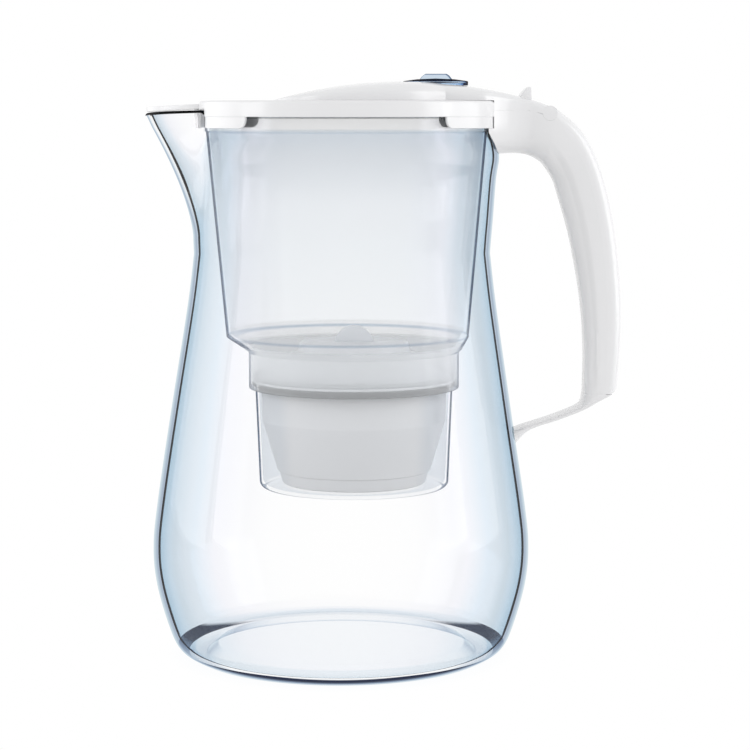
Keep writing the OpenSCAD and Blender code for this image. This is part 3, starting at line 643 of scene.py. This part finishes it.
def make_well(looks):
    """The cup under the collar; its inner surface has the second look."""
    outline = rounded([
        (0.3, 84.2, 0), (47.1, 84.2, 3), (49.2, 135.6, 0.3), (50.5, 135.6, 0.2), (50.5, 137.2, 0.4), (47.6, 137.2, 0.4),
        (45.5, 85.7, 3), (0.3, 85.7, 0)], 5)
    first_inner = next(i for i, (r, z) in enumerate(outline) if r < 49 and z > 137)
    well = turned("funnel_well", outline, CARTRIDGE_X, bands=[(first_inner, 1)])
    finished(well, "funnel", "frosted_plastic", looks, "funnel_well")


# ---- The cartridge ----

def make_cartridge(shell_look, cap_look):
    shell = turned("cartridge_shell", rounded([
        (0.3, 86.2, 0), (35.7, 86.2, 1.2), (37.4, 92.4, 0.5), (38.3, 92.8, 0.5), (45.8, 118, 6), (46.2, 134.2, 1),
        (46.4, 137.2, 0.4), (50.3, 137.2, 0.4), (50.3, 138.6, 0.4), (44.3, 138.6, 0.3), (44.3, 119, 5),
        (36.6, 94, 1), (34.4, 87.7, 1), (0.3, 87.7, 0)], 5), CARTRIDGE_X)
    finished(shell, "cartridge", "cartridge_plastic", shell_look, "cartridge_shell")
    cap = turned("cartridge_cap", rounded([
        (44.3, 138.6, 0.2), (48.5, 138.6, 0.3), (48.5, 140.2, 0.5), (46, 141, 1), (33, 150.5, 3), (28, 152, 2),
        (27, 157, 1.4), (0.3, 157, 0), (0.3, 155.4, 0), (25.6, 155.4, 0.8), (26.6, 150.7, 1), (32, 149, 3),
        (44.3, 140.4, 1)], 5), CARTRIDGE_X)
    finished(cap, "cartridge", "cartridge_plastic", cap_look, "cartridge_cap")
    tab = [(-9.5, 157)] + [(10 * math.cos(math.radians(a)), 154.8 + 10 * math.sin(math.radians(a)))
                           for a in range(164, 12, -6)] + [(9.5, 157)]
    grip = prism("cartridge_grip", [(CARTRIDGE_X + x, z) for x, z in tab], -2, 2)
    finished(softened(grip, 0.6, 3), "cartridge", "cartridge_plastic", cap_look, "cartridge_grip")


# ---- Materials ----

# Largest share of light that clear plastic mirrors, its tint on a level floor, and the colour of its painted dark edge,
# which stands in for refraction
MOST_GLOSS, LEVEL_TINT, PAINTED_DARK_EDGE = 0.05, (0.975, 0.983, 0.992), (0.002, 0.006, 0.02)


class Look:
    """The nodes of a material or of the world, and the short calls that build them."""

    def __init__(self, owner):
        owner.use_nodes = True
        self.owner, self.nodes, self.links = owner, owner.node_tree.nodes, owner.node_tree.links
        self.nodes.clear()

    def put(self, socket, value):
        """Sets a socket to a number or a colour, or links it to another node's output."""
        if isinstance(value, bpy.types.NodeSocket):
            self.links.new(value, socket)
        elif isinstance(value, tuple):
            socket.default_value = (*value, 1)
        else:
            socket.default_value = value

    def add(self, kind, **inputs):
        node = self.nodes.new("ShaderNode" + kind)
        for name, value in inputs.items():
            self.put(node.inputs[name.replace("_", " ")], value)
        return node

    def maths(self, how, a, b=0.0):
        node = self.add("Math")
        node.operation = how
        self.put(node.inputs[0], a)
        self.put(node.inputs[1], b)
        return node.outputs[0]

    def spread(self, value, low, high, to_low=0.0, to_high=1.0):
        node = self.add("MapRange", Value=value, From_Min=low, From_Max=high, To_Min=to_low, To_Max=to_high)
        return node.outputs["Result"]

    def ramp(self, value, stops):
        """A colour that follows a value through (place, (r, g, b)) stops."""
        node = self.add("ValToRGB", Fac=value)
        elements = node.color_ramp.elements
        while len(elements) < len(stops):
            elements.new(0.5)
        for element, (place, colour) in zip(elements, stops):
            element.position = place
            element.color = (*colour, 1)
        return node.outputs["Color"]

    def mixed(self, share, a, b, blend="MIX"):
        node = self.add("Mix")
        node.data_type, node.blend_type = "RGBA", blend
        for socket, value in zip((node.inputs[0], node.inputs[6], node.inputs[7]), (share, a, b)):
            self.put(socket, value)
        return node.outputs[2]

    def layered(self, share, under, over):
        """One shader mixed over another."""
        node = self.add("MixShader")
        for socket, value in zip(node.inputs, (share, under, over)):
            self.put(socket, value)
        return node.outputs[0]

    def place(self):
        """The place on the object in metres."""
        return self.add("TexCoord").outputs["Object"]

    def by_height(self, z, stops):
        """A colour that follows the height in metres through (height in millimetres, colour) stops."""
        low, high = stops[0][0], stops[-1][0]
        share = self.spread(z, low * MM, high * MM)
        return self.ramp(share, [((height - low) / (high - low), colour) for height, colour in stops])

    def from_axis(self, x, y, centre_x):
        """The distance from an upright axis."""
        off = self.maths("SUBTRACT", x, centre_x * MM)
        squares = self.maths("MULTIPLY", off, off), self.maths("MULTIPLY", y, y)
        return self.maths("SQRT", self.maths("ADD", *squares))

    def seen(self):
        """1 for what the camera sees, also by a reflection or through glass."""
        path = self.add("LightPath").outputs
        mirrored = self.maths("MAXIMUM", path["Is Glossy Ray"], path["Is Transmission Ray"])
        return self.maths("MAXIMUM", path["Is Camera Ray"], mirrored)

    def finish(self, shader, output="OutputMaterial"):
        self.links.new(shader, self.add(output).inputs["Surface"])
        return self.owner


def material(name):
    return Look(bpy.data.materials.new(name))


def clear_plastic(name, edges, line=None, level=None, heights=None, haze=None, gloss=0.35):
    """Clear plastic: it tints what is behind it more the flatter it is seen, and mirrors a little.

    edges are the tints from seen square on, 0, to seen edge on, 1; where they turn near black at the edge-on end
    they are a painted dark edge that stands in for refraction. line is where in that range a painted dark line,
    standing in for refraction, starts, on the round wall and in the spout: nowhere when over 1, and everywhere when
    under 0. level is (centre x, radius, tint) of a level floor with an even tint. heights are (height, tint) stops
    from the bottom up, which on the funnel also hold painted shade and a painted dark line, and haze is (height,
    share of light that the plastic scatters) ones. The plastic throws no shadow."""
    look = material(name)
    facing, seen = look.add("LayerWeight", Blend=0.5).outputs["Facing"], look.seen()
    colour = look.ramp(facing, edges)
    x, y, z = look.add("SeparateXYZ", Vector=look.place()).outputs
    if line:
        out = look.spread(look.from_axis(x, y, MOUTH_X), 72.5 * MM, 80 * MM)
        spout = look.maths("MULTIPLY", out, look.spread(z, 190 * MM, 215 * MM))
        start = look.spread(spout, 0, 1, *line)
        # Painted dark line where the wall is seen nearly edge on, standing in for refraction
        dark = look.spread(facing, start, look.maths("ADD", start, 0.018))
        above_floor = look.spread(z, 11 * MM, 15 * MM)
        colour = look.mixed(look.maths("MULTIPLY", dark, above_floor), colour, PAINTED_DARK_EDGE)
    if level:
        centre_x, radius, tint = level
        normal_z = look.add("SeparateXYZ", Vector=look.add("NewGeometry").outputs["Normal"]).outputs[2]
        flat = look.spread(look.maths("ABSOLUTE", normal_z), 0.6, 0.75)
        inside = look.spread(look.from_axis(x, y, centre_x), (radius + 0.5) * MM, (radius - 0.5) * MM)
        colour = look.mixed(look.maths("MULTIPLY", flat, inside), colour, tint)
    if heights:
        colour = look.mixed(1.0, colour, look.by_height(z, heights), "MULTIPLY")
    colour = look.mixed(seen, (1.0, 1.0, 1.0), colour)
    body = look.add("BsdfTransparent", Color=colour).outputs[0]
    if haze:
        milk = look.layered(0.5, look.add("BsdfDiffuse", Color=(0.9, 0.92, 0.94)).outputs[0],
                            look.add("BsdfTranslucent", Color=(0.9, 0.92, 0.94)).outputs[0])
        share = look.by_height(z, [(height, (part, part, part)) for height, part in haze])
        body = look.layered(look.maths("MULTIPLY", share, seen), body, milk)
    shine = look.add("BsdfGlossy", Roughness=0.03).outputs[0]
    share = look.maths("MULTIPLY", look.add("Fresnel", IOR=1.3).outputs[0], gloss)
    return look.finish(look.layered(look.maths("MINIMUM", share, MOST_GLOSS), body, shine))


def moulded_plastic(name, colour, roughness, grain=900, depth=0.02):
    """Opaque moulded plastic: a fine grain, and a finish that varies a little over the surface."""
    look = material(name)
    fine = look.add("TexNoise", Vector=look.place(), Scale=grain, Detail=2.0).outputs[0]
    broad = look.add("TexNoise", Vector=look.place(), Scale=35.0, Detail=3.0).outputs[0]
    worn = look.spread(broad, 0.3, 0.7, roughness * 0.85, roughness * 1.2)
    bump = look.add("Bump", Strength=depth, Distance=0.0002, Height=fine).outputs[0]
    base = look.add("BsdfPrincipled", Base_Color=colour, Roughness=worn, Normal=bump)
    return look.finish(base.outputs[0])


def brushed_steel(name):
    look = material(name)
    lines = look.add("TexNoise", Vector=look.place(), Scale=2500.0, Detail=3.0).outputs[0]
    base = look.add("BsdfPrincipled", Base_Color=(0.62, 0.63, 0.65), Roughness=look.spread(lines, 0, 1, 0.2, 0.4))
    base.inputs["Metallic"].default_value = 1.0
    return look.finish(base.outputs[0])


def grains(name):
    """A packed bed of small pale and dark grains."""
    look = material(name)
    cells = look.add("TexVoronoi", Vector=look.place(), Scale=1400.0).outputs
    tone = look.add("SeparateXYZ", Vector=cells["Color"]).outputs[0]
    colour = look.ramp(tone, [(0, (0.03, 0.03, 0.035)), (0.45, (0.08, 0.08, 0.09)), (0.5, (0.62, 0.6, 0.55)),
                              (1, (0.75, 0.73, 0.68))])
    bump = look.add("Bump", Strength=0.6, Distance=0.0004, Height=cells["Distance"]).outputs[0]
    return look.finish(look.add("BsdfPrincipled", Base_Color=colour, Roughness=0.7, Normal=bump).outputs[0])


def woven_mesh(name, pitch=0.0008):
    """A fine woven mesh, its threads running along X and Y."""
    look = material(name)
    x, y, _ = look.add("SeparateXYZ", Vector=look.place()).outputs
    turns = [look.maths("SINE", look.maths("MULTIPLY", axis, 2 * math.pi / pitch)) for axis in (x, y)]
    threads = look.spread(look.maths("MULTIPLY", *turns), -1, 1)
    colour = look.ramp(threads, [(0, (0.5, 0.5, 0.48)), (0.5, (0.86, 0.86, 0.84)), (1, (0.5, 0.5, 0.48))])
    bump = look.add("Bump", Strength=0.5, Distance=0.0002, Height=threads).outputs[0]
    return look.finish(look.add("BsdfPrincipled", Base_Color=colour, Roughness=0.6, Normal=bump).outputs[0])


# ---- Stage, lamps and camera ----

def make_world():
    world = bpy.data.worlds.new("studio")
    bpy.context.scene.world = world
    look = Look(world)
    strength = look.spread(look.seen(), 0, 1, 0.76, 1.0)
    look.finish(look.add("Background", Color=(1, 1, 1), Strength=strength).outputs[0], "OutputWorld")


def make_floor():
    """A pale floor, white where it is seen, with a faint shade where the object meets it."""
    corners = [(-3000, -3000, 0), (3000, -3000, 0), (3000, 3000, 0), (-3000, 3000, 0)]
    floor = piece("floor", corners, [(0, 1, 2, 3)])
    look = material("floor")
    near = look.add("AmbientOcclusion", Distance=0.012)
    near.samples = 8
    shade = look.ramp(near.outputs["AO"], [(0, (0.97, 0.98, 0.99)), (0.7, (1, 1, 1))])
    glow = look.add("Emission", Color=shade).outputs[0]
    cover = look.add("BsdfDiffuse", Color=(0.9, 0.9, 0.9)).outputs[0]
    floor.data.materials.append(look.finish(look.layered(look.seen(), cover, glow)))


def make_lamp(name, place, aim, width, height, power, only_mirrored=False):
    """A soft box; an only mirrored one shows in gloss and lights nothing."""
    lamp = bpy.data.lights.new(name, "AREA")
    lamp.shape = "RECTANGLE"
    lamp.size, lamp.size_y, lamp.energy = width, height, power
    made = bpy.data.objects.new(name, lamp)
    bpy.context.scene.collection.objects.link(made)
    made.location = place
    made.rotation_euler = (Vector(aim) - Vector(place)).to_track_quat("-Z", "Y").to_euler()
    made.visible_camera = False
    made.visible_diffuse = not only_mirrored


def make_camera():
    camera = bpy.data.objects.new("camera", bpy.data.cameras.new("camera"))
    bpy.context.scene.collection.objects.link(camera)
    camera.data.sensor_width = 36
    camera.data.lens = 111.3
    camera.location = (0.017, -1.15, 0.2694)
    aim = Vector((0.017, 0, 0.1399))
    camera.rotation_euler = (aim - camera.location).to_track_quat("-Z", "Y").to_euler()
    bpy.context.scene.camera = camera


make_camera()
make_world()
make_floor()
make_lamp("left_softbox", (-1.1, -0.35, 0.5), (0, 0, 0.15), 0.5, 0.9, 3.4)
make_lamp("right_softbox", (1.1, -0.35, 0.5), (0, 0, 0.15), 0.5, 0.9, 3.4)
make_lamp("left_card", (-1.22, 0.44, 0.15), (0, 0, 0.15), 0.95, 1.6, 7, True)
make_lamp("right_card", (1.3, 0.11, 0.15), (0, 0, 0.15), 0.95, 1.6, 7, True)
bpy.context.scene.view_settings.view_transform = "Standard"

JUG_OUTSIDE = clear_plastic("jug_outside", [
    (0, (1, 1, 1)), (0.55, (1, 1, 1)), (0.62, (0.97, 0.98, 0.99)), (0.71, (0.83, 0.88, 0.92)),
    (0.8, (0.61, 0.67, 0.75)), (0.84, (0.68, 0.75, 0.815)), (0.88, (0.75, 0.82, 0.87)), (0.93, (0.82, 0.88, 0.91)),
    (1, (0.86, 0.9, 0.92))], level=(0, 62, LEVEL_TINT))
# The rim is painted dark over the spout's lip, standing in for refraction in the thick plastic
JUG_RIM = clear_plastic("jug_rim", [(0, (0.98, 0.985, 0.99)), (1, (0.9, 0.93, 0.96))], line=(1.5, -9))
# Its near-black stops seen edge on are a painted dark edge, standing in for refraction
JUG_INSIDE = clear_plastic("jug_inside", [
    (0, (1, 1, 1)), (0.09, (0.995, 0.996, 0.998)), (0.18, (0.978, 0.98, 0.99)), (0.285, (0.947, 0.951, 0.973)),
    (0.41, (0.863, 0.907, 0.947)), (0.49, (0.837, 0.881, 0.92)), (0.6, (0.777, 0.837, 0.884)),
    (0.7, (0.77, 0.845, 0.9)), (0.85, (0.8, 0.88, 0.93)), (0.885, (0.05, 0.1, 0.2)), (0.9, PAINTED_DARK_EDGE),
    (1, PAINTED_DARK_EDGE)], line=(0.84, 0.67), level=(0, 73.5, LEVEL_TINT))
# Painted dark band on the foot's corner, standing in for refraction in the thick plastic
FOOT_PAINTED_LINE = clear_plastic("jug_foot_line", [
    (0, (0.97, 0.98, 0.99)), (0.44, (0.95, 0.96, 0.97)), (0.5, (0.008, 0.016, 0.05)), (0.68, (0.008, 0.016, 0.05)),
    (0.8, (0.3, 0.38, 0.5)), (0.9, (0.75, 0.82, 0.88)), (1, (0.86, 0.9, 0.93))])
# Seen edge on, the funnel and well turn dark blue-grey: a painted dark edge that stands in for refraction
FUNNEL_EDGES = [
    (0, (1, 1, 1)), (0.75, (1, 1, 1)), (0.8, (0.97, 0.975, 0.98)), (0.83, (0.33, 0.38, 0.46)), (1, (0.28, 0.33, 0.41))]
NO_EDGES = [(0, (1, 1, 1)), (1, (1, 1, 1))]
WELL_SHADE = [(0, (1, 1, 1)), (0.28, (1, 1, 1)), (0.42, (0.9, 0.925, 0.95)), (1, (0.87, 0.895, 0.92))]
# Funnel colour by height, near white low down and darker towards the top as painted shade under the lid,
# with a painted dark line at the floor's edge, 159.5 to 160.1, standing in for refraction
FUNNEL_TINTS_AND_PAINTED_SHADE = [
    (134, (0.985, 0.99, 0.995)), (159.2, (0.995, 0.997, 1)), (159.5, (0.75, 0.8, 0.86)), (160.1, (0.75, 0.8, 0.86)),
    (160.6, (0.99, 0.995, 1)), (200, (0.98, 0.988, 0.995)), (226, (0.97, 0.978, 0.987)), (251, (0.92, 0.933, 0.947)),
    (260, (0.9, 0.918, 0.937)), (260.6, (0.815, 0.855, 0.895)), (261.4, (1, 1, 1)), (270, (1, 1, 1))]
FUNNEL_HAZE = [(134, 0.4), (155, 0.4), (156, 0.12), (162, 0.12), (163, 0.03), (260.5, 0.03), (261, 0.12), (270, 0.12)]
WELL_FLOOR, WELL_HAZE = (CARTRIDGE_X, 44, LEVEL_TINT), [(84, 0.02), (137, 0.02)]
FROSTED = tuple(clear_plastic(name, edges, heights=FUNNEL_TINTS_AND_PAINTED_SHADE, haze=FUNNEL_HAZE, gloss=0.8)
                for name, edges in (("funnel_outside", FUNNEL_EDGES), ("funnel_inside", NO_EDGES)))
WELL = tuple(clear_plastic(name, edges, level=WELL_FLOOR, haze=WELL_HAZE, gloss=0.8)
             for name, edges in (("well_outside", FUNNEL_EDGES), ("well_inside", WELL_SHADE)))
# The dial's blue turns near black where it is seen edge on: a painted dark edge that stands in for refraction
BLUE = clear_plastic("blue_plastic", [
    (0, (0.86, 0.91, 0.96)), (0.45, (0.68, 0.78, 0.89)), (0.58, (0.4, 0.52, 0.7)), (0.68, (0.03, 0.06, 0.13)),
    (1, (0.005, 0.01, 0.03))])
# The grip bar likewise darkens where it is seen edge on: a painted dark edge
BAR_LOOK = clear_plastic("dial_bar_plastic", [
    (0, (0.78, 0.84, 0.9)), (0.5, (0.68, 0.76, 0.85)), (0.75, (0.35, 0.43, 0.55)), (1, (0.12, 0.17, 0.26))])
WHITE = moulded_plastic("white_plastic", (0.86, 0.86, 0.87), 0.18)
SHELL_LOOK = moulded_plastic("cartridge_plastic", (0.9, 0.92, 0.95), 0.4)
CAP_LOOK = moulded_plastic("cap_plastic", (0.86, 0.88, 0.91), 0.35)
RUBBER = moulded_plastic("seal_rubber", (0.6, 0.62, 0.64), 0.7, grain=1800, depth=0.1)
STEEL, GRAINS, MESH = brushed_steel("pin_steel"), grains("media_grains"), woven_mesh("mesh_fabric")

make_jug(JUG_OUTSIDE, JUG_RIM, JUG_INSIDE, FOOT_PAINTED_LINE)
make_handle(WHITE)
make_lid(WHITE)
make_flip_lid(WHITE)
make_spout_flap(WHITE)
make_dial(BLUE, BAR_LOOK)
make_funnel(FROSTED)
make_well(WELL)
make_cartridge(SHELL_LOOK, CAP_LOOK)

CARRIED_OVER = {"lid_hinge_pin": STEEL, "spout_flap_pin": STEEL, "dial_clip": CAP_LOOK, "dial_scale": CAP_LOOK,
                "cartridge_seal": RUBBER, "filter_media": GRAINS, "inlet_mesh": MESH, "outlet_mesh": MESH}
for name, look in CARRIED_OVER.items():
    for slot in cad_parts[name].material_slots:
        slot.material = look
